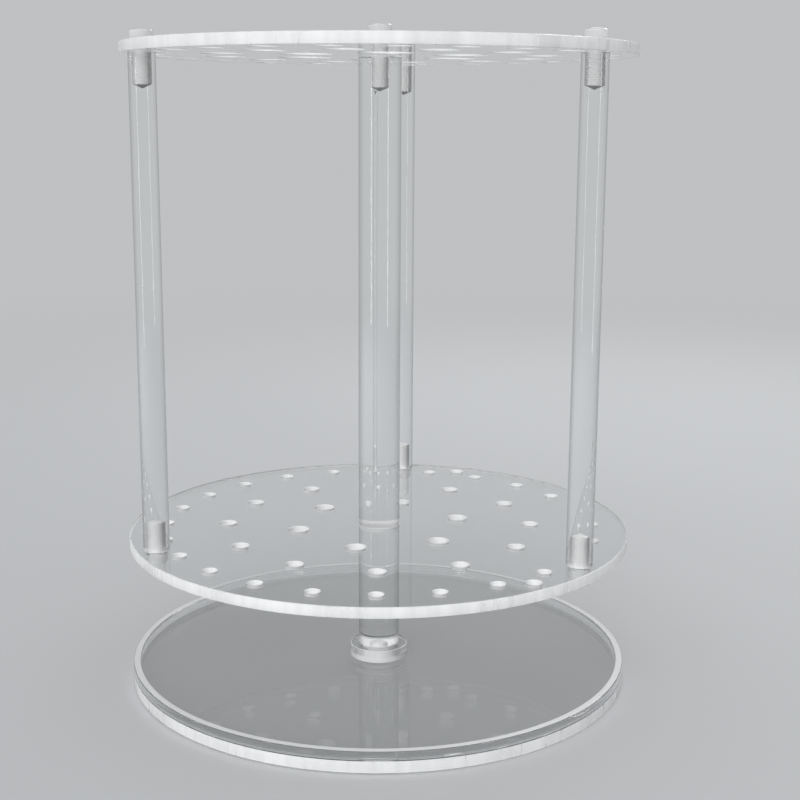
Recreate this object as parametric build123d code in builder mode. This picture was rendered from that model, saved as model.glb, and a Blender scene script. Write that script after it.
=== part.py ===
"""Pipette carousel stand: a turning cage of clear acrylic plates and rods on a round drip tray.

Millimetres, +Z up. The origin is on the turning axis, at the underside of the base disc.
Angles are counter-clockwise from +X.
"""

from build123d import *
from math import cos, radians, sin, tan
import os

# --- Driving dimensions ------------------------------------------------------------------

# Base tray
base_diameter = 240.0
base_thickness = 6.0
lip_width = 3.5
lip_height = 4.0

# Pivot
collar_diameter = 28.0
collar_height = 6.0
spigot_diameter = 16.0
pivot_screw_length = 8.0
pivot_head_height = 2.8
pivot_head_recess = 0.4

# Posts and rods
post_diameter = 20.0
rod_diameter = 12.0
rod_length = 222.0
rod_inset = 6.7
rod_angles = {"back": 84.0, "left": 204.0, "right": 324.0}

# Plates: the tip plate is cut to the base's size, and the top plate is set back from it
tip_plate_thickness = 5.0
tip_plate_height = 68.0
top_plate_setback = 2.5
top_plate_thickness = 5.0
top_plate_turn = 19.0

# Pipette stations, ring by ring from the top plate's rim: both plates share these circles
outer_ring_inset = 13.8
outer_ring_count = 24
outer_tip_hole = 6.5
outer_barrel_hole = 12.5
middle_ring_spacing = 29.9
middle_ring_count = 12
middle_tip_hole = 8.0
middle_barrel_hole = 18.0
inner_ring_spacing = 33.9
inner_ring_count = 6
inner_ring_start = 15.0
inner_tip_hole = 9.5
inner_barrel_hole = 24.0

# Spare assembly holes in the tip plate
spare_hole_count = 3
spare_hole_diameter = 7.0
spare_hole_start = 67.5

# Screws
screw_diameter = 6.0
screw_length = 16.0
head_diameter = 10.0
head_height = 4.2
head_edge_chamfer = 0.9
centre_head_diameter = 11.0
centre_head_height = 9.5
slot_width = 1.3
slot_depth = 1.5
screw_tip_chamfer = 0.6
drill_point_angle = 118.0
tapping_runout = 2.8
pivot_tapping_runout = 1.5

# Edges and fits
plate_edge_chamfer = 0.4
rod_edge_chamfer = 0.4
running_clearance = 0.05
thread_clearance = 0.05
push_fit_clearance = 0.05
screw_hole_clearance = 0.3
head_side_clearance = 0.5
thrust_gap = 0.3

# --- Derived heights and radii -----------------------------------------------------------

tip_plate_diameter = base_diameter
top_plate_diameter = tip_plate_diameter - 2 * top_plate_setback
rod_circle_radius = top_plate_diameter / 2 - rod_inset
outer_ring_radius = top_plate_diameter / 2 - outer_ring_inset
middle_ring_radius = outer_ring_radius - middle_ring_spacing
inner_ring_radius = middle_ring_radius - inner_ring_spacing

collar_top = base_thickness + collar_height
spigot_foot = base_thickness + thrust_gap
post_shoulder = collar_top + thrust_gap
tip_plate_top = tip_plate_height + tip_plate_thickness
top_plate_height = tip_plate_top + rod_length
top_plate_top = top_plate_height + top_plate_thickness

tapped_radius = screw_diameter / 2 + thread_clearance
drill_cone = tapped_radius / tan(radians(drill_point_angle / 2))
screw_hole_radius = screw_diameter / 2 + screw_hole_clearance
tip_screw_reach = screw_length - tip_plate_thickness
top_screw_reach = screw_length - top_plate_thickness

pivot_seat = pivot_head_recess + pivot_head_height
pivot_counterbore_depth = pivot_seat + thrust_gap
pivot_screw_reach = pivot_seat + pivot_screw_length - spigot_foot


# --- Helpers -----------------------------------------------------------------------------


def polar_point(radius, angle, height):
    """A point at a radius and angle about the turning axis."""
    return (radius * cos(radians(angle)), radius * sin(radians(angle)), height)


def upright_plane(foot):
    """The plane of a turned profile: its x runs outward and its y up from the foot point."""
    return Plane(origin=foot, x_dir=(1, 0, 0), z_dir=(0, -1, 0))


def hanging_plane(head):
    """The same, with its y running down from the head point."""
    return Plane(origin=head, x_dir=(1, 0, 0), z_dir=(0, 1, 0))


def blind_hole_depth(reach):
    """The depth of a tapped hole's straight wall for a screw that reaches so far in."""
    return reach + tapping_runout


def cut_station_rings(turn_angle, outer_hole, middle_hole, inner_hole):
    """Cut a plate's three rings of pipette holes into the sketch that is open."""
    rings = (
        (outer_ring_radius, outer_ring_count, turn_angle, outer_hole),
        (middle_ring_radius, middle_ring_count, turn_angle, middle_hole),
        (inner_ring_radius, inner_ring_count, turn_angle + inner_ring_start, inner_hole),
    )
    for ring_radius, count, start, hole in rings:
        with PolarLocations(ring_radius, count, start_angle=start):
            Circle(hole / 2, mode=Mode.SUBTRACT)


def cut_rod_screw_holes():
    """Cut the clearance holes of the rods' screws into the sketch that is open."""
    with PolarLocations(rod_circle_radius, len(rod_angles), start_angle=rod_angles["back"]):
        Circle(screw_hole_radius, mode=Mode.SUBTRACT)


def rim_edges(plate):
    """The two edges round the outside of a plate."""
    return plate.edges().filter_by(GeomType.CIRCLE).group_by(SortBy.RADIUS)[-1]


def build_support_rod(angle):
    """A rod between the plates, tapped for a screw at each end."""
    outside = rod_diameter / 2
    foot_hole = blind_hole_depth(tip_screw_reach)
    top_hole = blind_hole_depth(top_screw_reach)
    edge = rod_edge_chamfer
    plane = upright_plane(polar_point(rod_circle_radius, angle, tip_plate_top))
    with BuildPart() as support_rod:
        with BuildSketch(plane):
            with BuildLine():
                Polyline(
                    (tapped_radius, 0),
                    (outside - edge, 0),
                    (outside, edge),
                    (outside, rod_length - edge),
                    (outside - edge, rod_length),
                    (tapped_radius, rod_length),
                    (tapped_radius, rod_length - top_hole),
                    (0, rod_length - top_hole - drill_cone),
                    (0, foot_hole + drill_cone),
                    (tapped_radius, foot_hole),
                    close=True,
                )
            make_face()
        revolve(axis=Axis(plane.origin, plane.y_dir))
    return support_rod.part


def build_screw(plane, length, head_size, height):
    """A slotted pan-head screw; the plane's origin is under the head and its y points out of it."""
    head = head_size / 2
    shank = screw_diameter / 2
    tip = shank - screw_tip_chamfer
    flat = head - head_edge_chamfer
    with BuildPart() as screw:
        with BuildSketch(plane):
            with BuildLine():
                Polyline(
                    (head, 0),
                    (shank, 0),
                    (shank, screw_tip_chamfer - length),
                    (tip, -length),
                    (0, -length),
                    (0, height),
                    (flat, height),
                    (head, height - head_edge_chamfer),
                    close=True,
                )
            make_face()
        revolve(axis=Axis(plane.origin, plane.y_dir))
        head_top = Plane(origin=plane.origin + plane.y_dir * height, x_dir=plane.x_dir, z_dir=plane.y_dir)
        with BuildSketch(head_top):
            Rectangle(head_size + slot_width, slot_width)
        extrude(amount=-slot_depth, mode=Mode.SUBTRACT)
    return screw.part


# --- Pieces that stand still -------------------------------------------------------------

os.makedirs("parts", exist_ok=True)

with BuildPart() as base_disc:
    with BuildSketch():
        Circle(base_diameter / 2)
    extrude(amount=base_thickness)
    chamfer(base_disc.faces().sort_by(Axis.Z)[0].edges(), length=plate_edge_chamfer)
    with Locations(Plane(origin=(0, 0, 0), z_dir=(0, 0, -1))):
        CounterBoreHole(
            radius=screw_hole_radius,
            counter_bore_radius=head_diameter / 2 + head_side_clearance,
            counter_bore_depth=pivot_counterbore_depth,
        )
base_disc.part.label = "base_disc"
export_step(base_disc.part, "parts/base_disc.step")

with BuildPart() as base_rim:
    with BuildSketch(Plane.XY.offset(base_thickness)):
        Circle(base_diameter / 2)
        Circle(base_diameter / 2 - lip_width, mode=Mode.SUBTRACT)
    extrude(amount=lip_height)
    chamfer(base_rim.faces().sort_by(Axis.Z)[-1].edges(), length=plate_edge_chamfer)
base_rim.part.label = "base_rim"
export_step(base_rim.part, "parts/base_rim.step")

with BuildPart() as pivot_collar:
    with BuildSketch(Plane.XY.offset(base_thickness)):
        Circle(collar_diameter / 2)
        Circle(spigot_diameter / 2 + running_clearance, mode=Mode.SUBTRACT)
    extrude(amount=collar_height)
    collar_top_edges = pivot_collar.faces().sort_by(Axis.Z)[-1].edges()
    chamfer(collar_top_edges.sort_by(SortBy.RADIUS)[-1], length=plate_edge_chamfer)
pivot_collar.part.label = "pivot_collar"
export_step(pivot_collar.part, "parts/pivot_collar.step")

# --- The centre post ---------------------------------------------------------------------

# Heights up the post from the foot of its spigot
post_shoulder_up = post_shoulder - spigot_foot
post_top_up = top_plate_height - spigot_foot
post_foot_hole = pivot_screw_reach + pivot_tapping_runout
post_top_hole = blind_hole_depth(top_screw_reach)

with BuildPart() as centre_post:
    with BuildSketch(upright_plane((0, 0, spigot_foot))):
        with BuildLine():
            Polyline(
                (tapped_radius, 0),
                (spigot_diameter / 2 - rod_edge_chamfer, 0),
                (spigot_diameter / 2, rod_edge_chamfer),
                (spigot_diameter / 2, post_shoulder_up),
                (post_diameter / 2, post_shoulder_up),
                (post_diameter / 2, post_top_up - rod_edge_chamfer),
                (post_diameter / 2 - rod_edge_chamfer, post_top_up),
                (tapped_radius, post_top_up),
                (tapped_radius, post_top_up - post_top_hole),
                (0, post_top_up - post_top_hole - drill_cone),
                (0, post_foot_hole + drill_cone),
                (tapped_radius, post_foot_hole),
                close=True,
            )
        make_face()
    revolve(axis=Axis.Z)
centre_post.part.label = "centre_post"
export_step(centre_post.part, "parts/centre_post.step")

# --- Plates ------------------------------------------------------------------------------

with BuildPart() as tip_plate:
    with BuildSketch(Plane.XY.offset(tip_plate_height)):
        Circle(tip_plate_diameter / 2)
        Circle(post_diameter / 2 + push_fit_clearance, mode=Mode.SUBTRACT)
        cut_station_rings(0, outer_tip_hole, middle_tip_hole, inner_tip_hole)
        cut_rod_screw_holes()
        with PolarLocations(rod_circle_radius, spare_hole_count, start_angle=spare_hole_start):
            Circle(spare_hole_diameter / 2, mode=Mode.SUBTRACT)
    extrude(amount=tip_plate_thickness)
    chamfer(rim_edges(tip_plate), length=plate_edge_chamfer)
tip_plate.part.label = "tip_plate"
export_step(tip_plate.part, "parts/tip_plate.step")

with BuildPart() as top_plate:
    with BuildSketch(Plane.XY.offset(top_plate_height)):
        Circle(top_plate_diameter / 2)
        Circle(screw_hole_radius, mode=Mode.SUBTRACT)
        cut_station_rings(top_plate_turn, outer_barrel_hole, middle_barrel_hole, inner_barrel_hole)
        cut_rod_screw_holes()
    extrude(amount=top_plate_thickness)
    chamfer(rim_edges(top_plate), length=plate_edge_chamfer)
top_plate.part.label = "top_plate"
export_step(top_plate.part, "parts/top_plate.step")

# --- Rods and screws ---------------------------------------------------------------------

for side, angle in rod_angles.items():
    support_rod = build_support_rod(angle)
    support_rod.label = f"support_rod_{side}"
    export_step(support_rod, f"parts/support_rod_{side}.step")

    top_seat = upright_plane(polar_point(rod_circle_radius, angle, top_plate_top))
    top_screw = build_screw(top_seat, screw_length, head_diameter, head_height)
    top_screw.label = f"top_screw_{side}"
    export_step(top_screw, f"parts/top_screw_{side}.step")

    bottom_seat = hanging_plane(polar_point(rod_circle_radius, angle, tip_plate_height))
    bottom_screw = build_screw(bottom_seat, screw_length, head_diameter, head_height)
    bottom_screw.label = f"bottom_screw_{side}"
    export_step(bottom_screw, f"parts/bottom_screw_{side}.step")

centre_seat = upright_plane((0, 0, top_plate_top))
top_screw_centre = build_screw(centre_seat, screw_length, centre_head_diameter, centre_head_height)
top_screw_centre.label = "top_screw_centre"
export_step(top_screw_centre, "parts/top_screw_centre.step")

pivot_seat_plane = hanging_plane((0, 0, pivot_seat))
pivot_screw = build_screw(pivot_seat_plane, pivot_screw_length, head_diameter, pivot_head_height)
pivot_screw.label = "pivot_screw"
export_step(pivot_screw, "parts/pivot_screw.step")
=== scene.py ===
"""Dresses the pipette carousel stand: clear acrylic plates, rods and screws on a pale studio floor."""

from math import atan2, cos, pi, radians, sin

import bmesh
import bpy
from bpy.props import FloatProperty, FloatVectorProperty, IntProperty
from mathutils import Matrix, Vector


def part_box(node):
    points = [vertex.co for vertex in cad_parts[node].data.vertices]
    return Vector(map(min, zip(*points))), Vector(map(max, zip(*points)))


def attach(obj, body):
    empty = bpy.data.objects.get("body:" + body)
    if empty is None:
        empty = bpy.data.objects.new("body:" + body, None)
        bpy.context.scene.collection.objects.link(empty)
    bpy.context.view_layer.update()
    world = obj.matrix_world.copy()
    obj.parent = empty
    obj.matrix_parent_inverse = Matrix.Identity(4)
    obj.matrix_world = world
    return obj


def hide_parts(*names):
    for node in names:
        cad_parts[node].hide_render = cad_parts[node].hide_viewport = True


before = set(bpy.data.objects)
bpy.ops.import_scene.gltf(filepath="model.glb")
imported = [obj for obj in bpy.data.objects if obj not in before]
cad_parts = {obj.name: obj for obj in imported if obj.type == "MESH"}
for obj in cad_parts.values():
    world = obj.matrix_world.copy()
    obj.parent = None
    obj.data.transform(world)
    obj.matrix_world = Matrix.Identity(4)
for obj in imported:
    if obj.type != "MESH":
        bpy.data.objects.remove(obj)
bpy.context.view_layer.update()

bl_info = {
    "name": "Pipette Carousel Stand",
    "version": (1, 0, 0),
    "blender": (4, 5, 0),
    "location": "3D View > Sidebar > Carousel",
    "description": "Builds the clear acrylic carousel stand piece by piece",
    "category": "Object",
}

SIDES = ("left", "right", "back")
MM = 0.001

LIP_WIDTH = 3.5 * MM
COUNTERBORE_RADIUS = 5.5 * MM
COUNTERBORE_DEPTH = 3.5 * MM
TIP_HOLES = (6.5 * MM, 8.0 * MM, 9.5 * MM)
BARREL_HOLES = (12.5 * MM, 18.0 * MM, 24.0 * MM)
INNER_RING_START = radians(15)
SPARE_HOLE_RADIUS = 3.5 * MM
SPARE_HOLE_START = radians(67.5)
SCREW_HOLE_RADIUS = 3.3 * MM
SCREW_LENGTH = 16.0 * MM
HEAD_RADIUS = 5.0 * MM
CENTRE_HEAD_RADIUS = 5.5 * MM
PIVOT_HEAD_HEIGHT = 2.8 * MM
SPIGOT_RADIUS = 8.0 * MM
RUNNING_GAP = 0.05 * MM
THRUST_GAP = 0.3 * MM
SHANK_RADIUS = 2.65 * MM
TAPPED_RADIUS = 2.7 * MM
TAPPED_DEPTH = 13.8 * MM
PIVOT_TAPPED_DEPTH = 6.4 * MM
DRILL_CONE = 1.8 * MM
ROD_EDGE = 0.4 * MM
ROWS_PER_TURN = 6
SHARP_ANGLE = radians(40)
ACRYLIC_IOR = 1.49


# --- What the frame says -----------------------------------------------------------------


def node_axis(node):
    """The x and y of a turned node's own upright axis, from its distinct corners."""
    corners = {tuple(round(c, 6) for c in v.co[:2]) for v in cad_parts[node].data.vertices}
    low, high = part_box(node)
    middle = (low + high) / 2
    reach = max(Vector(c).length for c in [(x - middle.x, y - middle.y) for x, y in corners])
    rim = [(x, y) for x, y in corners if Vector((x - middle.x, y - middle.y)).length > 0.9 * reach]
    return Vector((sum(x for x, _ in rim) / len(rim), sum(y for _, y in rim) / len(rim)))


def node_radius(node, axis=(0.0, 0.0)):
    """The largest distance of a node's corners from an upright axis."""
    return max((v.co.xy - Vector(axis)).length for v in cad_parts[node].data.vertices)


def levels(node):
    """The lowest and highest z of a node."""
    low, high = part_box(node)
    return low.z, high.z


# --- Settings ----------------------------------------------------------------------------


def length_setting(name, default, description):
    """A setting that is a length."""
    return FloatProperty(name=name, description=description, default=default, unit="LENGTH")


def angle_setting(name, default, description):
    """A setting that is an angle."""
    return FloatProperty(name=name, description=description, default=default, subtype="ANGLE")


def colour_setting(name, default, description):
    """A setting that is a colour."""
    return FloatVectorProperty(name=name, description=description, default=default, subtype="COLOR", size=3)


class CarouselPlateSettings(bpy.types.PropertyGroup):
    """Sizes of the drilled plates; the hole circles are the same in both."""

    edge_round: length_setting("Edge Round", 0.5 * MM, "Polish on a plate's rim edges")
    hole_round: length_setting("Hole Round", 0.3 * MM, "Broken edge round each hole")
    outer_ring: length_setting("Outer Ring", 103.7 * MM, "Radius of the outer circle of holes")
    middle_ring: length_setting("Middle Ring", 73.8 * MM, "Radius of the middle circle of holes")
    inner_ring: length_setting("Inner Ring", 39.9 * MM, "Radius of the inner circle of holes")
    top_turn: angle_setting("Top Turn", radians(19), "Turn of the top plate's holes from the tip plate's")
    rim_steps: IntProperty(name="Rim Steps", description="Facets round a plate's rim", default=360)
    hole_steps: IntProperty(name="Hole Steps", description="Facets round a hole", default=48)


class CarouselScrewSettings(bpy.types.PropertyGroup):
    """Sizes of the moulded screws and their threads."""

    pitch: length_setting("Pitch", 1.0 * MM, "Thread pitch")
    tap_depth: length_setting("Tap Depth", 0.16 * MM, "Depth of the threads cut in a tapped hole")
    ridge: length_setting("Ridge", 0.3 * MM, "Half the width of a thread ridge")
    slot_width: length_setting("Slot Width", 1.3 * MM, "Width of the driver slot")
    slot_depth: length_setting("Slot Depth", 1.5 * MM, "Depth of the driver slot")


class CarouselFinishSettings(bpy.types.PropertyGroup):
    """Colours, and the gap at the seams."""

    acrylic: colour_setting("Acrylic", (0.975, 0.985, 0.985), "Tint of the clear acrylic")
    frost: colour_setting("Frost", (0.94, 0.945, 0.95), "Colour of cut and threaded surfaces")
    backdrop: colour_setting("Backdrop", (0.52, 0.53, 0.54), "Colour of the background")
    floor: colour_setting("Floor", (0.61, 0.62, 0.63), "Colour of the floor")
    seam_gap: length_setting("Seam Gap", 0.04 * MM, "Gap shown between pieces that touch")


class CarouselStageSettings(bpy.types.PropertyGroup):
    """Camera and floor."""

    lens: FloatProperty(name="Lens", description="Focal length in millimetres", default=63.0)
    camera_place: FloatVectorProperty(
        name="Camera Place",
        description="Where the camera stands",
        default=(0.00725, -0.65966, 0.269),
        subtype="TRANSLATION",
        size=3,
    )
    yaw: angle_setting("Yaw", 0.0041, "Turn of the view to the right of +Y")
    pitch: angle_setting("Pitch", 0.2011, "Tilt of the view below level")
    roll: angle_setting("Roll", -0.0052, "Roll of the picture")
    floor_size: length_setting("Floor Size", 12.0, "Radius of the floor")


def settings(name):
    """One of the groups of settings above, such as plates or finish."""
    return getattr(bpy.context.scene, f"carousel_{name}")


# --- Shader helpers ----------------------------------------------------------------------


def new_group(name, inputs, outputs):
    """An empty shader node group with named sockets; returns it with its input and output nodes."""
    group = bpy.data.node_groups.new(name, "ShaderNodeTree")
    for label, kind, default in inputs:
        socket = group.interface.new_socket(name=label, in_out="INPUT", socket_type=kind)
        socket.default_value = default
    for label, kind in outputs:
        group.interface.new_socket(name=label, in_out="OUTPUT", socket_type=kind)
    return group, group.nodes.new("NodeGroupInput"), group.nodes.new("NodeGroupOutput")


def add(tree, kind, **values):
    """A node with attributes set by name."""
    node = tree.nodes.new(kind)
    for key, value in values.items():
        setattr(node, key, value)
    return node


def math_node(tree, operation, *values):
    """A math node fed by sockets or numbers; returns its output."""
    node = add(tree, "ShaderNodeMath", operation=operation)
    for slot, value in zip(node.inputs, values):
        if isinstance(value, (int, float)):
            slot.default_value = value
        else:
            tree.links.new(value, slot)
    return node.outputs[0]


def ramp_between(tree, value, low, high):
    """Remaps a socket's 0 to 1 onto the range between two more sockets."""
    node = add(tree, "ShaderNodeMapRange", clamp=True)
    for label, source in (("Value", value), ("To Min", low), ("To Max", high)):
        tree.links.new(source, node.inputs[label])
    return node.outputs["Result"]


def rise_between(tree, value, start, end, curve="SMOOTHSTEP"):
    """0 where a socket is below start, 1 where it is above end, and a rise between them."""
    node = add(tree, "ShaderNodeMapRange", clamp=True, interpolation_type=curve)
    node.inputs["From Min"].default_value = start
    node.inputs["From Max"].default_value = end
    tree.links.new(value, node.inputs["Value"])
    return node.outputs["Result"]


def surface_haze_group():
    """Wiping marks and dust on polished acrylic: a roughness and a height."""
    group, inside, out = new_group(
        "surface_haze",
        [
            ("Low Roughness", "NodeSocketFloat", 0.0),
            ("High Roughness", "NodeSocketFloat", 0.06),
            ("Scale", "NodeSocketFloat", 40.0),
        ],
        [("Roughness", "NodeSocketFloat"), ("Height", "NodeSocketFloat")],
    )
    links = group.links
    coords = add(group, "ShaderNodeTexCoord").outputs["Object"]
    cloud = add(group, "ShaderNodeTexNoise")
    cloud.inputs["Detail"].default_value = 5.0
    links.new(coords, cloud.inputs["Vector"])
    links.new(inside.outputs["Scale"], cloud.inputs["Scale"])
    specks = add(group, "ShaderNodeTexVoronoi")
    specks.inputs["Scale"].default_value = 420.0
    links.new(coords, specks.inputs["Vector"])
    dust = math_node(group, "LESS_THAN", specks.outputs["Distance"], 0.10)
    haze = math_node(group, "POWER", cloud.outputs[0], 3.0)
    mask = math_node(group, "MAXIMUM", haze, math_node(group, "MULTIPLY", dust, 0.5))
    low, high = inside.outputs["Low Roughness"], inside.outputs["High Roughness"]
    links.new(ramp_between(group, mask, low, high), out.inputs["Roughness"])
    links.new(haze, out.inputs["Height"])
    return group


def cut_streaks_group():
    """The marks of a cutter that ran round an upright wall: streaks across its edge."""
    group, inside, out = new_group(
        "cut_streaks",
        [
            ("Streaks Round", "NodeSocketFloat", 60.0),
            ("Streaks Up", "NodeSocketFloat", 20.0),
            ("Low Roughness", "NodeSocketFloat", 0.25),
            ("High Roughness", "NodeSocketFloat", 0.55),
        ],
        [("Mask", "NodeSocketFloat"), ("Roughness", "NodeSocketFloat"), ("Height", "NodeSocketFloat")],
    )
    links = group.links
    coords = add(group, "ShaderNodeTexCoord").outputs["Object"]
    split = add(group, "ShaderNodeSeparateXYZ")
    links.new(coords, split.inputs[0])
    angle = math_node(group, "ARCTAN2", split.outputs["Y"], split.outputs["X"])
    around = math_node(group, "MULTIPLY", angle, inside.outputs["Streaks Round"])
    upward = math_node(group, "MULTIPLY", split.outputs["Z"], inside.outputs["Streaks Up"])
    place = add(group, "ShaderNodeCombineXYZ")
    links.new(around, place.inputs["X"])
    links.new(upward, place.inputs["Z"])
    broad = add(group, "ShaderNodeTexNoise")
    broad.inputs["Scale"].default_value = 0.35
    broad.inputs["Detail"].default_value = 2.0
    fine = add(group, "ShaderNodeTexNoise")
    fine.inputs["Scale"].default_value = 1.7
    fine.inputs["Detail"].default_value = 1.5
    for noise in (broad, fine):
        links.new(place.outputs[0], noise.inputs["Vector"])
    mixed = math_node(group, "MULTIPLY", broad.outputs[0], fine.outputs[0])
    mask = rise_between(group, mixed, 0.14, 0.36, "LINEAR")
    low, high = inside.outputs["Low Roughness"], inside.outputs["High Roughness"]
    links.new(mask, out.inputs["Mask"])
    links.new(ramp_between(group, mask, low, high), out.inputs["Roughness"])
    links.new(fine.outputs[0], out.inputs["Height"])
    return group


def turning_marks_group():
    """Fine rings left by a drill or a lathe, one above the other."""
    group, inside, out = new_group(
        "turning_marks",
        [
            ("Rings Per Metre", "NodeSocketFloat", 1600.0),
            ("Low Roughness", "NodeSocketFloat", 0.2),
            ("High Roughness", "NodeSocketFloat", 0.5),
        ],
        [("Roughness", "NodeSocketFloat"), ("Height", "NodeSocketFloat")],
    )
    links = group.links
    coords = add(group, "ShaderNodeTexCoord").outputs["Object"]
    split = add(group, "ShaderNodeSeparateXYZ")
    links.new(coords, split.inputs[0])
    phase = math_node(group, "MULTIPLY", split.outputs["Z"], inside.outputs["Rings Per Metre"])
    wave = math_node(group, "SINE", math_node(group, "MULTIPLY", phase, 2 * pi))
    patch = add(group, "ShaderNodeTexNoise")
    patch.inputs["Scale"].default_value = 380.0
    patch.inputs["Detail"].default_value = 3.0
    links.new(coords, patch.inputs["Vector"])
    height = math_node(group, "ADD", math_node(group, "MULTIPLY", wave, 0.5), patch.outputs[0])
    low, high = inside.outputs["Low Roughness"], inside.outputs["High Roughness"]
    links.new(ramp_between(group, patch.outputs[0], low, high), out.inputs["Roughness"])
    links.new(height, out.inputs["Height"])
    return group


def place_group(tree, name, maker, **values):
    """A shared group placed in a material, with its own values by input name."""
    node = add(tree, "ShaderNodeGroup")
    node.node_tree = bpy.data.node_groups.get(name) or maker()
    for label, value in values.items():
        node.inputs[label.replace("_", " ")].default_value = value
    return node


def clear_plastic(name, colour, transmission, passed, bump_depth=None):
    """A clear material that lets a share of the lamps' light pass: its tree, shader and bump node."""
    material = bpy.data.materials.new(name)
    material.use_nodes = True
    tree = material.node_tree
    shader = tree.nodes["Principled BSDF"]
    path = add(tree, "ShaderNodeLightPath")
    through = add(tree, "ShaderNodeBsdfTransparent")
    through.inputs["Color"].default_value = (passed, passed, passed, 1.0)
    mix = add(tree, "ShaderNodeMixShader")
    tree.links.new(path.outputs["Is Shadow Ray"], mix.inputs[0])
    tree.links.new(shader.outputs[0], mix.inputs[1])
    tree.links.new(through.outputs[0], mix.inputs[2])
    tree.links.new(mix.outputs[0], tree.nodes["Material Output"].inputs["Surface"])
    shader.inputs["Base Color"].default_value = (*colour, 1.0)
    shader.inputs["IOR"].default_value = ACRYLIC_IOR
    shader.inputs["Transmission Weight"].default_value = transmission
    bump = None
    if bump_depth:
        bump = add(tree, "ShaderNodeBump")
        bump.inputs["Strength"].default_value = 1.0
        bump.inputs["Distance"].default_value = bump_depth
        tree.links.new(bump.outputs["Normal"], shader.inputs["Normal"])
    return tree, shader, bump


def hazy_plastic(name, colour, transmission, passed, high_roughness, scale, low_roughness=0.0):
    """A clear material with wiping marks; returns its tree and shader."""
    tree, shader, _ = clear_plastic(name, colour, transmission, passed)
    haze = place_group(
        tree, "surface_haze", surface_haze_group,
        Low_Roughness=low_roughness, High_Roughness=high_roughness, Scale=scale,
    )
    tree.links.new(haze.outputs["Roughness"], shader.inputs["Roughness"])
    return tree, shader


def tint_between(tree, shader, factor, first, second):
    """The base colour goes from the first colour to the second with a factor."""
    tint = add(tree, "ShaderNodeMix", data_type="RGBA")
    tree.links.new(factor, tint.inputs["Factor"])
    tint.inputs["A"].default_value = (*first, 1.0)
    tint.inputs["B"].default_value = (*second, 1.0)
    tree.links.new(tint.outputs["Result"], shader.inputs["Base Color"])


def marked_plastic(name, transmission, passed, bump_depth, group, maker, **values):
    """A frosted material whose roughness and height come from a shared group of tool marks."""
    tree, shader, bump = clear_plastic(name, settings("finish").frost, transmission, passed, bump_depth)
    marks = place_group(tree, group, maker, **values)
    tree.links.new(marks.outputs["Roughness"], shader.inputs["Roughness"])
    tree.links.new(marks.outputs["Height"], bump.inputs["Height"])
    return tree, shader, marks


def polished_acrylic():
    """Cast acrylic with its own gloss, a little wiped."""
    hazy_plastic("polished_acrylic", settings("finish").acrylic, 1.0, 0.98, high_roughness=0.05, scale=24.0)


def rod_acrylic():
    """Clear rod whose base colour is painted darker towards its sides, where it is seen edge-on: painted
    shade at the rod's edges.
    """
    acrylic = settings("finish").acrylic
    tree, shader = hazy_plastic("rod_acrylic", acrylic, 1.0, 0.98, high_roughness=0.04, scale=30.0)
    # Painted shade: the base colour darkens to 0.4 of the acrylic's where the rod is seen edge-on.
    facing = add(tree, "ShaderNodeLayerWeight")
    facing.inputs["Blend"].default_value = 0.5
    side = rise_between(tree, facing.outputs["Facing"], 0.22, 0.8)
    tint_between(tree, shader, side, acrylic, [0.4 * c for c in acrylic])


def cut_rim():
    """A plate's sawn and flamed rim: bright, with streaks across the thickness."""
    tree, shader, streaks = marked_plastic(
        "cut_rim", 0.25, 0.85, 0.02 * MM, "cut_streaks", cut_streaks_group,
        Streaks_Round=14.0, Streaks_Up=8.0, Low_Roughness=0.2, High_Roughness=0.5,
    )
    frost = settings("finish").frost
    tint_between(tree, shader, streaks.outputs["Mask"], [0.86 * c for c in frost], frost)


def drilled_wall():
    """The frosted wall of a drilled or turned surface, with its fine rings."""
    marked_plastic(
        "drilled_wall", 0.18, 0.85, 0.02 * MM, "turning_marks", turning_marks_group,
        Rings_Per_Metre=1800.0, Low_Roughness=0.18, High_Roughness=0.5,
    )


def thread_frost():
    """Threads in clear plastic, which scatter nearly all the light that reaches them."""
    marked_plastic(
        "thread_frost", 0.03, 0.8, 0.01 * MM, "turning_marks", turning_marks_group,
        Rings_Per_Metre=2000.0, Low_Roughness=0.25, High_Roughness=0.5,
    )


def moulded_clear():
    """The moulded clear plastic of the screw heads, a little milky."""
    frost = settings("finish").frost
    hazy_plastic("moulded_clear", frost, 0.68, 0.85, high_roughness=0.16, scale=160.0, low_roughness=0.02)


MATERIAL_MAKERS = {
    "polished_acrylic": polished_acrylic,
    "rod_acrylic": rod_acrylic,
    "cut_rim": cut_rim,
    "drilled_wall": drilled_wall,
    "thread_frost": thread_frost,
    "moulded_clear": moulded_clear,
}


def finish_material(name):
    """A finish by its name, made when it is first asked for."""
    if name not in bpy.data.materials:
        MATERIAL_MAKERS[name]()
    return bpy.data.materials[name]


# --- Mesh helpers ------------------------------------------------------------------------


def new_object(name, data):
    """An object that holds the data, linked to the scene."""
    holder = bpy.data.objects.new(name, data)
    bpy.context.scene.collection.objects.link(holder)
    return holder


def ring(bm, axis, radius, z, steps, lift=None):
    """A circle of vertices, or one vertex on the axis; lift adds to the radius by turn."""
    if radius < 1e-7:
        return [bm.verts.new((axis[0], axis[1], z))]
    corners = []
    for i in range(steps):
        turn = 2 * pi * i / steps
        reach = radius + (lift(turn) if lift else 0.0)
        corners.append(bm.verts.new((axis[0] + reach * cos(turn), axis[1] + reach * sin(turn), z)))
    return corners


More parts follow.
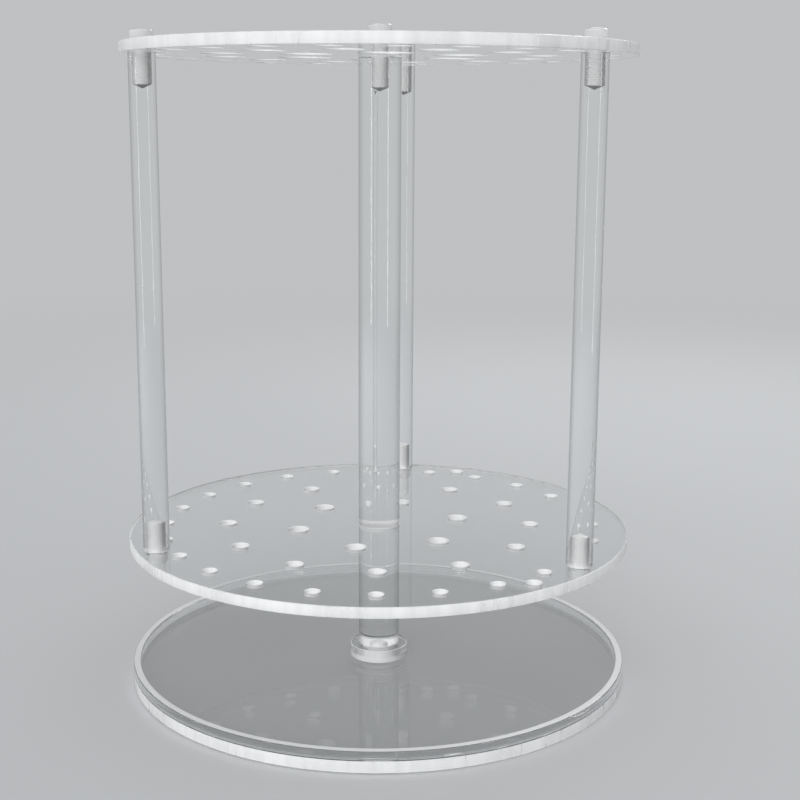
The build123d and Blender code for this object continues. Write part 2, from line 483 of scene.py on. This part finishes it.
def tapped_wall(start, end):
    """Outline points of a tapped hole's wall: its thread winds between the two ends."""
    pitch = settings("screws").pitch
    depth = settings("screws").tap_depth
    rows = round(abs(end - start) / pitch * ROWS_PER_TURN)
    points = []
    for row in range(rows + 1):
        z = start + (end - start) * row / rows
        fade = min(1.0, row / ROWS_PER_TURN, (rows - row) / ROWS_PER_TURN)
        points.append((TAPPED_RADIUS, z, "thread_frost", thread_lift(z / pitch, depth * fade)))
    return points


def thread_lift(phase, depth):
    """A ridge that climbs one pitch in a turn: the height it adds at each turn."""
    return lambda turn: depth * abs(2 * ((phase - turn / (2 * pi)) % 1.0) - 1)


def bridge(bm, first, second, finish, flat):
    """Faces between two rings of vertices."""
    steps = max(len(first), len(second))
    for i in range(steps):
        j = (i + 1) % steps
        around = ((first, i), (first, j), (second, j), (second, i))
        corners = dict.fromkeys(loop[step % len(loop)] for loop, step in around)
        face = bm.faces.new(list(corners))
        face.material_index = finish
        face.smooth = not flat


def turned_piece(name, axis, outline, finishes, steps=96):
    """A solid of revolution from a closed outline of (radius, z, finish of the face to the next point)."""
    bm = bmesh.new()
    rings = [ring(bm, axis, point[0], point[1], steps, *point[3:]) for point in outline]
    for index, point in enumerate(outline):
        nxt = (index + 1) % len(outline)
        if len(rings[index]) == 1 and len(rings[nxt]) == 1:
            continue
        flat = abs(outline[nxt][1] - point[1]) < 1e-7
        bridge(bm, rings[index], rings[nxt], finishes.index(point[2]), flat)
    bmesh.ops.recalc_face_normals(bm, faces=bm.faces)
    return piece_from(bm, name, finishes)


def mark_sharp(bm):
    """Makes the steep corners sharp and the others smooth."""
    for edge in bm.edges:
        edge.smooth = edge.calc_face_angle(0.0) < SHARP_ANGLE


def piece_from(bm, name, finishes):
    """The mesh as a linked object with its materials, its steep corners sharp."""
    mark_sharp(bm)
    mesh = bpy.data.meshes.new(name)
    bm.to_mesh(mesh)
    bm.free()
    for finish in finishes:
        mesh.materials.append(finish_material(finish))
    return new_object(name, mesh)


def eased(radius, z, outward, upward, size, finishes):
    """Outline points of a rounded corner at (radius, z): from its upright side to its level side."""
    places = (
        (radius, z - upward * size),
        (radius - outward * size * 0.3, z - upward * size * 0.3),
        (radius - outward * size, z),
    )
    return [(*place, finish) for place, finish in zip(places, finishes)]


def hand_over(piece, body, node):
    """The piece rides on its body and stands for its node."""
    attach(piece, body)
    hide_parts(node)


def plate_blank(name, node):
    """A plate before drilling: a disc whose rim edges are rounded."""
    plates = settings("plates")
    low, high = levels(node)
    radius = node_radius(node)
    edge = plates.edge_round
    finishes = ["polished_acrylic", "cut_rim", "drilled_wall"]
    outline = [
        (radius - edge, high),
        (radius - edge * 0.3, high - edge * 0.3),
        (radius, high - edge),
        (radius, low + edge),
        (radius - edge * 0.3, low + edge * 0.3),
        (radius - edge, low),
    ]
    bm = bmesh.new()
    rings = [ring(bm, (0.0, 0.0), r, z, plates.rim_steps) for r, z in outline]
    for upper, lower in zip(rings, rings[1:]):
        bridge(bm, upper, lower, finishes.index("cut_rim"), False)
    bm.faces.new(rings[0])
    bm.faces.new(rings[-1])
    bmesh.ops.recalc_face_normals(bm, faces=bm.faces)
    return piece_from(bm, name, finishes)


def hole_ring_tree():
    """Geometry nodes that drill one circle of holes through a plate, each with a broken edge."""
    tree = bpy.data.node_groups.new("hole_ring", "GeometryNodeTree")
    links = tree.links
    inside = tree_inputs(
        tree,
        ("Ring Radius", "NodeSocketFloat", 0.1),
        ("Count", "NodeSocketInt", 24),
        ("Start Angle", "NodeSocketFloat", 0.0),
        ("Hole Radius", "NodeSocketFloat", 3.0 * MM),
        ("Low", "NodeSocketFloat", 0.0),
        ("High", "NodeSocketFloat", 5.0 * MM),
        ("Edge Break", "NodeSocketFloat", 0.3 * MM),
        ("Hole Steps", "NodeSocketInt", 48),
        ("Rim Radius", "NodeSocketFloat", 0.12),
        ("Wall Finish", "NodeSocketMaterial", None),
    )
    index = add(tree, "GeometryNodeInputIndex").outputs[0]
    share = math_node(tree, "DIVIDE", index, inside["Count"])
    turn = math_node(tree, "ADD", math_node(tree, "MULTIPLY", share, 2 * pi), inside["Start Angle"])
    station = add(tree, "ShaderNodeCombineXYZ")
    for axis, part in (("X", "COSINE"), ("Y", "SINE")):
        place = math_node(tree, "MULTIPLY", math_node(tree, part, turn), inside["Ring Radius"])
        links.new(place, station.inputs[axis])
    points = add(tree, "GeometryNodePoints")
    links.new(inside["Count"], points.inputs["Count"])
    links.new(station.outputs[0], points.inputs["Position"])

    # The cutter is a tall cylinder of three bands, whose outer bands flare to break the edges.
    drill = add(tree, "GeometryNodeMeshCylinder")
    drill.inputs["Side Segments"].default_value = 3
    drill.inputs["Depth"].default_value = 1.0
    links.new(inside["Hole Steps"], drill.inputs["Vertices"])
    links.new(inside["Hole Radius"], drill.inputs["Radius"])
    corner = add(tree, "ShaderNodeSeparateXYZ")
    links.new(add(tree, "GeometryNodeInputPosition").outputs[0], corner.inputs[0])
    band = math_node(tree, "MULTIPLY", math_node(tree, "ABSOLUTE", corner.outputs["Z"]), 3.0)
    flare = math_node(tree, "MULTIPLY", math_node(tree, "SUBTRACT", band, 0.5), 2.0)
    flare = math_node(tree, "MULTIPLY", flare, inside["Edge Break"])
    widen = math_node(tree, "ADD", math_node(tree, "DIVIDE", flare, inside["Hole Radius"]), 1.0)
    half = math_node(tree, "MULTIPLY", math_node(tree, "SUBTRACT", inside["High"], inside["Low"]), 0.5)
    reach = math_node(tree, "ADD", math_node(tree, "SUBTRACT", half, inside["Edge Break"]), flare)
    height = math_node(tree, "MULTIPLY", math_node(tree, "SIGN", corner.outputs["Z"]), reach)
    middle = math_node(tree, "MULTIPLY", math_node(tree, "ADD", inside["High"], inside["Low"]), 0.5)
    shaped = add(tree, "ShaderNodeCombineXYZ")
    links.new(math_node(tree, "MULTIPLY", corner.outputs["X"], widen), shaped.inputs["X"])
    links.new(math_node(tree, "MULTIPLY", corner.outputs["Y"], widen), shaped.inputs["Y"])
    links.new(math_node(tree, "ADD", height, middle), shaped.inputs["Z"])
    cutter = add(tree, "GeometryNodeSetPosition")
    links.new(drill.outputs["Mesh"], cutter.inputs["Geometry"])
    links.new(shaped.outputs[0], cutter.inputs["Position"])
    drills = add(tree, "GeometryNodeInstanceOnPoints")
    links.new(points.outputs[0], drills.inputs["Points"])
    links.new(cutter.outputs[0], drills.inputs["Instance"])
    solid_drills = add(tree, "GeometryNodeRealizeInstances")
    links.new(drills.outputs[0], solid_drills.inputs[0])
    cut = add(tree, "GeometryNodeMeshBoolean", operation="DIFFERENCE", solver="MANIFOLD")
    links.new(inside["Geometry"], cut.inputs["Mesh 1"])
    links.new(solid_drills.outputs[0], cut.inputs["Mesh 2"])

    # Upright faces inside the rim are the walls of holes.
    facing = add(tree, "ShaderNodeSeparateXYZ")
    links.new(add(tree, "GeometryNodeInputNormal").outputs[0], facing.inputs[0])
    upright = math_node(tree, "LESS_THAN", math_node(tree, "ABSOLUTE", facing.outputs["Z"]), 0.95)
    level = add(tree, "ShaderNodeVectorMath", operation="MULTIPLY")
    links.new(add(tree, "GeometryNodeInputPosition").outputs[0], level.inputs[0])
    level.inputs[1].default_value = (1.0, 1.0, 0.0)
    distance = add(tree, "ShaderNodeVectorMath", operation="LENGTH")
    links.new(level.outputs[0], distance.inputs[0])
    within = math_node(tree, "LESS_THAN", distance.outputs["Value"], inside["Rim Radius"])
    real = add(tree, "GeometryNodeRealizeInstances")
    links.new(cut.outputs["Mesh"], real.inputs[0])
    paint = add(tree, "GeometryNodeSetMaterial")
    links.new(real.outputs[0], paint.inputs["Geometry"])
    links.new(math_node(tree, "MULTIPLY", upright, within), paint.inputs["Selection"])
    links.new(inside["Wall Finish"], paint.inputs["Material"])
    links.new(paint.outputs[0], tree_output(tree))
    return tree


def tree_inputs(tree, *inputs):
    """Gives a geometry tree its named inputs; returns the sockets to link from."""
    tree.interface.new_socket(name="Geometry", in_out="INPUT", socket_type="NodeSocketGeometry")
    for label, kind, default in inputs:
        socket = tree.interface.new_socket(name=label, in_out="INPUT", socket_type=kind)
        if default is not None:
            socket.default_value = default
    return tree.nodes.new("NodeGroupInput").outputs


def tree_output(tree):
    """Gives a geometry tree its output; returns the socket to link to."""
    tree.interface.new_socket(name="Geometry", in_out="OUTPUT", socket_type="NodeSocketGeometry")
    return tree.nodes.new("NodeGroupOutput").inputs[0]


def add_tree(piece, tree_name, maker, **values):
    """Adds a geometry tree to a piece, with the tree's inputs given by name."""
    tree = bpy.data.node_groups.get(tree_name) or maker()
    modifier = piece.modifiers.new(tree_name, "NODES")
    modifier.node_group = tree
    sockets = {
        item.name: item.identifier for item in tree.interface.items_tree if item.in_out == "INPUT"
    }
    for label, value in values.items():
        modifier[sockets[label.replace("_", " ")]] = value


def settle(piece):
    """Turns a piece and its modifiers into one plain mesh."""
    bpy.context.view_layer.update()
    evaluated = piece.evaluated_get(bpy.context.evaluated_depsgraph_get())
    mesh = bpy.data.meshes.new_from_object(evaluated)
    mesh.name = piece.name
    piece.modifiers.clear()
    piece.data = mesh


def shade_by_form(piece):
    """Level faces flat, all others smooth, and steep corners sharp."""
    bm = bmesh.new()
    bm.from_mesh(piece.data)
    bmesh.ops.triangulate(bm, faces=bm.faces)
    for face in bm.faces:
        face.smooth = abs(face.normal.z) < 0.999
    mark_sharp(bm)
    bm.to_mesh(piece.data)
    bm.free()


# --- Pieces ------------------------------------------------------------------------------


class CAROUSEL_OT_base(bpy.types.Operator):
    """Build the round base, its lip and the collar in its middle."""

    bl_idname = "carousel.build_base"
    bl_label = "Build Base"

    def execute(self, context):
        plates = settings("plates")
        gap = settings("finish").seam_gap
        edge = plates.edge_round
        low, high = levels("base_disc")
        radius = node_radius("base_disc")
        finishes = ["polished_acrylic", "cut_rim", "drilled_wall"]
        clear, _, frosted = finishes
        disc = turned_piece(
            "dressed_base_disc",
            (0.0, 0.0),
            [
                (SCREW_HOLE_RADIUS, high - gap, clear),
                (radius - edge * 0.5, high - gap, clear),
                (radius, high - gap - edge * 0.5, "cut_rim"),
                *eased(radius, low, 1, -1, edge, (clear, clear, clear)),
                (COUNTERBORE_RADIUS, low, frosted),
                (COUNTERBORE_RADIUS, COUNTERBORE_DEPTH, frosted),
                (SCREW_HOLE_RADIUS, COUNTERBORE_DEPTH, frosted),
            ],
            finishes,
            plates.rim_steps,
        )
        hand_over(disc, "base", "base_disc")

        low, high = levels("base_rim")
        inside = radius - LIP_WIDTH
        soft = edge * 0.6
        rim = turned_piece(
            "dressed_base_rim",
            (0.0, 0.0),
            [
                (inside, low, clear),
                (radius - gap, low, clear),
                (radius, low + gap, clear),
                *eased(radius, high, 1, 1, soft, (clear, clear, frosted)),
                *reversed(eased(inside, high, -1, 1, soft, (clear, clear, clear))),
            ],
            [clear, frosted],
            plates.rim_steps,
        )
        hand_over(rim, "base", "base_rim")

        low, high = levels("pivot_collar")
        outside = node_radius("pivot_collar")
        bore = SPIGOT_RADIUS + RUNNING_GAP
        bonded = low + 2.6 * MM
        collar = turned_piece(
            "dressed_pivot_collar",
            (0.0, 0.0),
            [
                (bore, low, clear),
                (outside, low, frosted),
                (outside, bonded, clear),
                *eased(outside, high, 1, 1, soft, (frosted, frosted, clear)),
                (bore + soft, high, clear),
                (bore, high - soft, frosted),
            ],
            [clear, frosted],
            128,
        )
        hand_over(collar, "base", "pivot_collar")
        return {"FINISHED"}


ROD_FINISHES = ["rod_acrylic", "polished_acrylic", "drilled_wall", "thread_frost"]


class CAROUSEL_OT_post(bpy.types.Operator):
    """Build the centre post with its turned spigot and tapped ends."""

    bl_idname = "carousel.build_post"
    bl_label = "Build Centre Post"

    def execute(self, context):
        low, high = levels("centre_post")
        high -= settings("finish").seam_gap
        _, collar_top = levels("pivot_collar")
        radius = node_radius("centre_post")
        shoulder = collar_top + THRUST_GAP
        top_hole = high - TAPPED_DEPTH
        foot_hole = low + PIVOT_TAPPED_DEPTH
        plate_low, plate_high = levels("tip_plate")
        bond = 1.4 * MM
        post = turned_piece(
            "dressed_centre_post",
            (0.0, 0.0),
            [
                (SPIGOT_RADIUS - ROD_EDGE, low, "drilled_wall"),
                (SPIGOT_RADIUS, low + ROD_EDGE, "drilled_wall"),
                (SPIGOT_RADIUS, shoulder, "drilled_wall"),
                (radius, shoulder, "rod_acrylic"),
                (radius, plate_low, "drilled_wall"),
                (radius, plate_low + bond, "rod_acrylic"),
                (radius, plate_high - bond, "drilled_wall"),
                (radius, plate_high, "rod_acrylic"),
                (radius, high - ROD_EDGE, "drilled_wall"),
                (radius - ROD_EDGE, high, "polished_acrylic"),
                *tapped_wall(high, top_hole),
                (0.0, top_hole - DRILL_CONE, "thread_frost"),
                (0.0, foot_hole + DRILL_CONE, "thread_frost"),
                *tapped_wall(foot_hole, low),
            ],
            ROD_FINISHES,
            160,
        )
        hand_over(post, "carousel", "centre_post")
        return {"FINISHED"}


class CAROUSEL_OT_rods(bpy.types.Operator):
    """Build the three support rods with their tapped ends."""

    bl_idname = "carousel.build_rods"
    bl_label = "Build Support Rods"

    def execute(self, context):
        gap = settings("finish").seam_gap
        for side in SIDES:
            node = f"support_rod_{side}"
            axis = node_axis(node)
            low, high = levels(node)
            low, high = low + gap, high - gap
            radius = node_radius(node, axis)
            rod = turned_piece(
                f"dressed_support_rod_{side}",
                axis,
                [
                    (radius - ROD_EDGE, low, "drilled_wall"),
                    (radius, low + ROD_EDGE, "rod_acrylic"),
                    (radius, high - ROD_EDGE, "drilled_wall"),
                    (radius - ROD_EDGE, high, "polished_acrylic"),
                    *tapped_wall(high, high - TAPPED_DEPTH),
                    (0.0, high - TAPPED_DEPTH - DRILL_CONE, "thread_frost"),
                    (0.0, low + TAPPED_DEPTH + DRILL_CONE, "thread_frost"),
                    *tapped_wall(low + TAPPED_DEPTH, low),
                ],
                ROD_FINISHES,
                128,
            )
            hand_over(rod, "carousel", node)
        return {"FINISHED"}


class CAROUSEL_OT_plates(bpy.types.Operator):
    """Build the top plate and the tip plate with their rings of holes."""

    bl_idname = "carousel.build_plates"
    bl_label = "Build Plates"

    def execute(self, context):
        plates = settings("plates")
        rods = [node_axis(f"support_rod_{side}") for side in ("back", "left", "right")]
        rod_start = atan2(rods[0].y, rods[0].x)
        rod_ring = sum(rod.length for rod in rods) / 3
        stations = (
            (plates.outer_ring, 24, 0.0),
            (plates.middle_ring, 12, 0.0),
            (plates.inner_ring, 6, INNER_RING_START),
        )
        post_hole = node_radius("centre_post") + RUNNING_GAP
        plans = (
            ("top_plate", plates.top_turn, BARREL_HOLES, SCREW_HOLE_RADIUS),
            ("tip_plate", 0.0, TIP_HOLES, post_hole),
        )
        for node, turn, widths, centre_hole in plans:
            circles = [
                (radius, count, start + turn, width / 2)
                for (radius, count, start), width in zip(stations, widths)
            ]
            circles += [(rod_ring, 3, rod_start, SCREW_HOLE_RADIUS), (0.0, 1, 0.0, centre_hole)]
            if node == "tip_plate":
                circles.append((rod_ring, 3, SPARE_HOLE_START, SPARE_HOLE_RADIUS))
            low, high = levels(node)
            plate = plate_blank(f"dressed_{node}", node)
            for ring_radius, count, start, hole_radius in circles:
                add_tree(
                    plate, "hole_ring", hole_ring_tree,
                    Ring_Radius=ring_radius, Count=count, Start_Angle=start, Hole_Radius=hole_radius,
                    Low=low, High=high, Edge_Break=plates.hole_round, Hole_Steps=plates.hole_steps,
                    Rim_Radius=node_radius(node) - 1 * MM, Wall_Finish=finish_material("drilled_wall"),
                )
            settle(plate)
            shade_by_form(plate)
            hand_over(plate, "carousel", node)
        return {"FINISHED"}


def screw_thread_tree():
    """Geometry nodes that wind a thread ridge round a screw's shank and join it to the screw."""
    tree = bpy.data.node_groups.new("screw_thread", "GeometryNodeTree")
    links = tree.links
    inside = tree_inputs(
        tree,
        ("Shank Radius", "NodeSocketFloat", 3.0 * MM),
        ("Pitch", "NodeSocketFloat", 1.0 * MM),
        ("Length", "NodeSocketFloat", 14.0 * MM),
        ("Ridge", "NodeSocketFloat", 0.36 * MM),
        ("Foot", "NodeSocketVector", (0.0, 0.0, 0.0)),
        ("Finish", "NodeSocketMaterial", None),
    )
    turns = math_node(tree, "DIVIDE", inside["Length"], inside["Pitch"])
    crest = math_node(tree, "SUBTRACT", inside["Shank Radius"], inside["Ridge"])
    spiral = add(tree, "GeometryNodeCurveSpiral")
    spiral.inputs["Resolution"].default_value = 28
    links.new(turns, spiral.inputs["Rotations"])
    links.new(crest, spiral.inputs["Start Radius"])
    links.new(crest, spiral.inputs["End Radius"])
    links.new(inside["Length"], spiral.inputs["Height"])
    profile = add(tree, "GeometryNodeCurvePrimitiveCircle")
    profile.inputs["Resolution"].default_value = 6
    links.new(inside["Ridge"], profile.inputs["Radius"])
    ridge = add(tree, "GeometryNodeCurveToMesh")
    ridge.inputs["Fill Caps"].default_value = True
    links.new(spiral.outputs["Curve"], ridge.inputs["Curve"])
    links.new(profile.outputs["Curve"], ridge.inputs["Profile Curve"])
    place = add(tree, "GeometryNodeTransform")
    links.new(ridge.outputs["Mesh"], place.inputs["Geometry"])
    links.new(inside["Foot"], place.inputs["Translation"])
    mark = add(tree, "GeometryNodeStoreNamedAttribute", data_type="BOOLEAN", domain="FACE")
    mark.inputs["Name"].default_value = "ridge"
    mark.inputs["Value"].default_value = True
    links.new(place.outputs["Geometry"], mark.inputs["Geometry"])
    join = add(tree, "GeometryNodeJoinGeometry")
    links.new(inside["Geometry"], join.inputs["Geometry"])
    links.new(mark.outputs["Geometry"], join.inputs["Geometry"])
    real = add(tree, "GeometryNodeRealizeInstances")
    links.new(join.outputs["Geometry"], real.inputs["Geometry"])
    chosen = add(tree, "GeometryNodeInputNamedAttribute", data_type="BOOLEAN")
    chosen.inputs["Name"].default_value = "ridge"
    paint = add(tree, "GeometryNodeSetMaterial")
    links.new(real.outputs["Geometry"], paint.inputs["Geometry"])
    links.new(chosen.outputs["Attribute"], paint.inputs["Selection"])
    links.new(inside["Finish"], paint.inputs["Material"])
    links.new(paint.outputs["Geometry"], tree_output(tree))
    return tree


def wind_thread(piece, foot, length):
    """Wind the thread on a screw and keep the result as its plain mesh."""
    screws = settings("screws")
    add_tree(
        piece, "screw_thread", screw_thread_tree,
        Shank_Radius=SHANK_RADIUS, Pitch=screws.pitch, Length=length, Ridge=screws.ridge,
        Foot=foot, Finish=finish_material("thread_frost"),
    )
    settle(piece)


def slotted_screw(name, axis, seat, up, length, head_height, head_radius):
    """A moulded screw: seat is the height under its head, and up is 1 if the head is above it."""
    screws = settings("screws")
    core = SHANK_RADIUS - screws.ridge
    tip = 0.6 * MM
    corner = min(1.2 * MM, head_height * 0.4)
    outline = [
        (core, seat, "thread_frost"),
        (core, seat - up * (length - tip), "thread_frost"),
        (core - tip, seat - up * length, "thread_frost"),
        (0.0, seat - up * length, "moulded_clear"),
        (0.0, seat + up * head_height, "moulded_clear"),
    ]
    for step in range(6):
        bend = pi / 2 * step / 5
        height = head_height - corner + corner * cos(bend)
        outline.append((head_radius - corner + corner * sin(bend), seat + up * height, "moulded_clear"))
    outline.append((head_radius, seat, "moulded_clear"))
    piece = turned_piece(name, axis, outline, ["moulded_clear", "thread_frost"], 96)
    cut_slot(piece, (*axis, seat + up * head_height), head_radius)
    start = seat - up * length if up > 0 else seat
    wind_thread(piece, (axis[0], axis[1], start + tip), length - 2 * tip)
    return piece


def cut_slot(piece, head_top, head_radius):
    """Cut the driver slot across a screw's head; head_top is the middle of its outer face."""
    screws = settings("screws")
    bm = bmesh.new()
    bmesh.ops.create_cube(bm, size=1.0)
    scale = Matrix.Diagonal((head_radius * 3, screws.slot_width, screws.slot_depth * 2, 1.0))
    bm.transform(Matrix.Translation(head_top) @ scale)
    mesh = bpy.data.meshes.new("slot_cutter")
    bm.to_mesh(mesh)
    bm.free()
    mesh.materials.append(finish_material("moulded_clear"))
    cutter = new_object("slot_cutter", mesh)
    cut = piece.modifiers.new("slot", "BOOLEAN")
    cut.operation = "DIFFERENCE"
    cut.object = cutter
    cut.solver = "EXACT"
    settle(piece)
    bpy.data.objects.remove(cutter)


class CAROUSEL_OT_screws(bpy.types.Operator):
    """Build the clear screws that clamp the plates, and the pivot's hidden screw."""

    bl_idname = "carousel.build_screws"
    bl_label = "Build Screws"

    def execute(self, context):
        gap = settings("finish").seam_gap
        above = levels("top_plate")[1] + gap
        below = levels("tip_plate")[0] - gap
        for side in SIDES:
            axis = node_axis(f"support_rod_{side}")
            self.clamp(f"top_screw_{side}", axis, above, 1, HEAD_RADIUS)
            self.clamp(f"bottom_screw_{side}", axis, below, -1, HEAD_RADIUS)
        self.clamp("top_screw_centre", (0.0, 0.0), above, 1, CENTRE_HEAD_RADIUS)
        low, high = levels("pivot_screw")
        seat = low + PIVOT_HEAD_HEIGHT
        pivot = slotted_screw(
            "dressed_pivot_screw", (0.0, 0.0), seat, -1, high - seat, PIVOT_HEAD_HEIGHT, HEAD_RADIUS
        )
        hand_over(pivot, "carousel", "pivot_screw")
        return {"FINISHED"}

    def clamp(self, node, axis, seat, up, head_radius):
        """One of the screws that clamp a plate: its head ends where its node's does."""
        head_height = abs(levels(node)[up > 0] - seat)
        screw = slotted_screw(f"dressed_{node}", axis, seat, up, SCREW_LENGTH, head_height, head_radius)
        hand_over(screw, "carousel", node)


# --- Stage -------------------------------------------------------------------------------


def seen_rays(tree):
    """1 where the ray shows the surface to the camera, straight or by way of gloss or glass."""
    path = add(tree, "ShaderNodeLightPath")
    seen = math_node(tree, "MAXIMUM", path.outputs["Is Camera Ray"], path.outputs["Is Glossy Ray"])
    return math_node(tree, "MAXIMUM", seen, path.outputs["Is Transmission Ray"])


def build_world():
    """A plain studio: pale round the horizon, greyer overhead, with soft light for the surfaces."""
    world = bpy.data.worlds.new("studio")
    bpy.context.scene.world = world
    world.use_nodes = True
    tree = world.node_tree
    tree.nodes.clear()
    links = tree.links
    coords = add(tree, "ShaderNodeTexCoord")
    split = add(tree, "ShaderNodeSeparateXYZ")
    links.new(coords.outputs["Generated"], split.inputs[0])
    sky = add(tree, "ShaderNodeMix", data_type="RGBA")
    links.new(rise_between(tree, split.outputs["Z"], 0.12, 0.75), sky.inputs["Factor"])
    sky.inputs["A"].default_value = (*settings("finish").backdrop, 1.0)
    sky.inputs["B"].default_value = (0.16, 0.17, 0.18, 1.0)
    shown = add(tree, "ShaderNodeBackground")
    links.new(sky.outputs["Result"], shown.inputs["Color"])
    lighting = add(tree, "ShaderNodeBackground")
    lighting.inputs["Color"].default_value = (0.95, 0.97, 1.0, 1.0)
    lighting.inputs["Strength"].default_value = 0.35
    mix = add(tree, "ShaderNodeMixShader")
    links.new(seen_rays(tree), mix.inputs[0])
    links.new(lighting.outputs[0], mix.inputs[1])
    links.new(shown.outputs[0], mix.inputs[2])
    out = add(tree, "ShaderNodeOutputWorld")
    links.new(mix.outputs[0], out.inputs["Surface"])


def floor_material():
    """A pale matt floor that runs into the background's colour far away."""
    material = bpy.data.materials.new("pale_floor")
    material.use_nodes = True
    tree = material.node_tree
    links = tree.links
    shader = tree.nodes["Principled BSDF"]
    shader.inputs["Base Color"].default_value = (*settings("finish").floor, 1.0)
    shader.inputs["Roughness"].default_value = 0.7
    shader.inputs["Specular IOR Level"].default_value = 0.2
    coords = add(tree, "ShaderNodeTexCoord")
    reach = add(tree, "ShaderNodeVectorMath", operation="LENGTH")
    links.new(coords.outputs["Object"], reach.inputs[0])
    far = rise_between(tree, reach.outputs["Value"], 0.45, 1.6)
    factor = math_node(tree, "MULTIPLY", seen_rays(tree), far)
    glow = add(tree, "ShaderNodeEmission")
    glow.inputs["Color"].default_value = (*settings("finish").backdrop, 1.0)
    mix = add(tree, "ShaderNodeMixShader")
    links.new(factor, mix.inputs[0])
    links.new(shader.outputs[0], mix.inputs[1])
    links.new(glow.outputs[0], mix.inputs[2])
    links.new(mix.outputs[0], tree.nodes["Material Output"].inputs["Surface"])
    return material


def soft_light(name, place, aim, size, power):
    """A large soft lamp at a place, aimed at a point; it isn't seen through the clear pieces."""
    lamp = bpy.data.lights.new(name, "AREA")
    lamp.shape = "RECTANGLE"
    lamp.size, lamp.size_y = size
    lamp.energy = power
    holder = new_object(name, lamp)
    holder.location = place
    direction = Vector(aim) - Vector(place)
    holder.rotation_euler = direction.to_track_quat("-Z", "Y").to_euler()
    holder.visible_transmission = False


def soft_sun(name, source, strength, spread):
    """An even, soft light from the direction of source; the clear pieces neither mirror nor refract it."""
    lamp = bpy.data.lights.new(name, "SUN")
    lamp.energy = strength
    lamp.angle = spread
    holder = new_object(name, lamp)
    holder.rotation_euler = Vector(source).to_track_quat("Z", "Y").to_euler()
    holder.visible_glossy = False
    holder.visible_transmission = False


def build_camera():
    """The camera, at the stand and with the angles of the stage settings."""
    stage = settings("stage")
    yaw, pitch, roll = stage.yaw, stage.pitch, stage.roll
    forward = Vector((sin(yaw) * cos(pitch), cos(yaw) * cos(pitch), -sin(pitch)))
    level = Vector((cos(yaw), -sin(yaw), 0.0))
    down = forward.cross(level)
    right = cos(roll) * level + sin(roll) * down
    below = -sin(roll) * level + cos(roll) * down
    data = bpy.data.cameras.new("camera")
    data.lens = stage.lens
    data.sensor_width = 36.0
    data.clip_start = 0.01
    camera = new_object("camera", data)
    turn_matrix = Matrix((right, -below, -forward)).transposed().to_4x4()
    camera.matrix_world = Matrix.Translation(stage.camera_place) @ turn_matrix
    bpy.context.scene.camera = camera


class CAROUSEL_OT_stage(bpy.types.Operator):
    """Build the floor, the soft lights and the camera."""

    bl_idname = "carousel.build_stage"
    bl_label = "Build Stage"

    def execute(self, context):
        stage = settings("stage")
        bm = bmesh.new()
        bmesh.ops.create_circle(bm, cap_ends=True, segments=96, radius=stage.floor_size)
        bmesh.ops.translate(bm, verts=bm.verts, vec=(0.0, 0.0, -0.2 * MM))
        mesh = bpy.data.meshes.new("floor")
        bm.to_mesh(mesh)
        bm.free()
        mesh.materials.append(floor_material())
        new_object("floor", mesh)
        build_world()
        middle = (0.0, 0.0, 0.16)
        soft_sun("key_light", (-0.45, -1.0, 0.8), 1.8, radians(35))
        soft_sun("front_fill", (0.0, -1.0, 0.2), 0.6, radians(50))
        for name, side in (("left_strip", -1), ("right_strip", 1)):
            soft_light(name, (side * 0.62, -0.62, 0.21), middle, (0.07, 0.34), 0.47)
        soft_light("back_light", (0.5, 1.0, 0.9), middle, (0.7, 0.3), 4.0)
        build_camera()
        context.scene.view_settings.view_transform = "Standard"
        cycles = context.scene.cycles
        cycles.transparent_max_bounces = 32
        cycles.transmission_bounces = 24
        cycles.glossy_bounces = 16
        cycles.max_bounces = 24
        cycles.caustics_refractive = False
        return {"FINISHED"}


# --- Panel and registration --------------------------------------------------------------

BUILDERS = (
    CAROUSEL_OT_base,
    CAROUSEL_OT_post,
    CAROUSEL_OT_rods,
    CAROUSEL_OT_plates,
    CAROUSEL_OT_screws,
    CAROUSEL_OT_stage,
)


class CAROUSEL_PT_panel(bpy.types.Panel):
    """Lists the carousel's sizes and builders."""

    bl_idname = "CAROUSEL_PT_panel"
    bl_label = "Pipette Carousel"
    bl_space_type = "VIEW_3D"
    bl_region_type = "UI"
    bl_category = "Carousel"

    def draw(self, context):
        layout = self.layout
        for name, group in SETTINGS.items():
            box = layout.box()
            box.label(text=group.__doc__)
            for key in group.__annotations__:
                box.prop(settings(name), key)
        for builder in BUILDERS:
            layout.operator(builder.bl_idname)


SETTINGS = {
    "plates": CarouselPlateSettings,
    "screws": CarouselScrewSettings,
    "finish": CarouselFinishSettings,
    "stage": CarouselStageSettings,
}


def register():
    for name, group in SETTINGS.items():
        bpy.utils.register_class(group)
        setattr(bpy.types.Scene, f"carousel_{name}", bpy.props.PointerProperty(type=group))
    for kind in (*BUILDERS, CAROUSEL_PT_panel):
        bpy.utils.register_class(kind)


def unregister():
    for kind in reversed((*BUILDERS, CAROUSEL_PT_panel)):
        bpy.utils.unregister_class(kind)
    for name, group in reversed(SETTINGS.items()):
        delattr(bpy.types.Scene, f"carousel_{name}")
        bpy.utils.unregister_class(group)


def main():
    register()
    bpy.ops.carousel.build_base()
    bpy.ops.carousel.build_post()
    bpy.ops.carousel.build_rods()
    bpy.ops.carousel.build_plates()
    bpy.ops.carousel.build_screws()
    bpy.ops.carousel.build_stage()


if __name__ == "__main__":
    main()
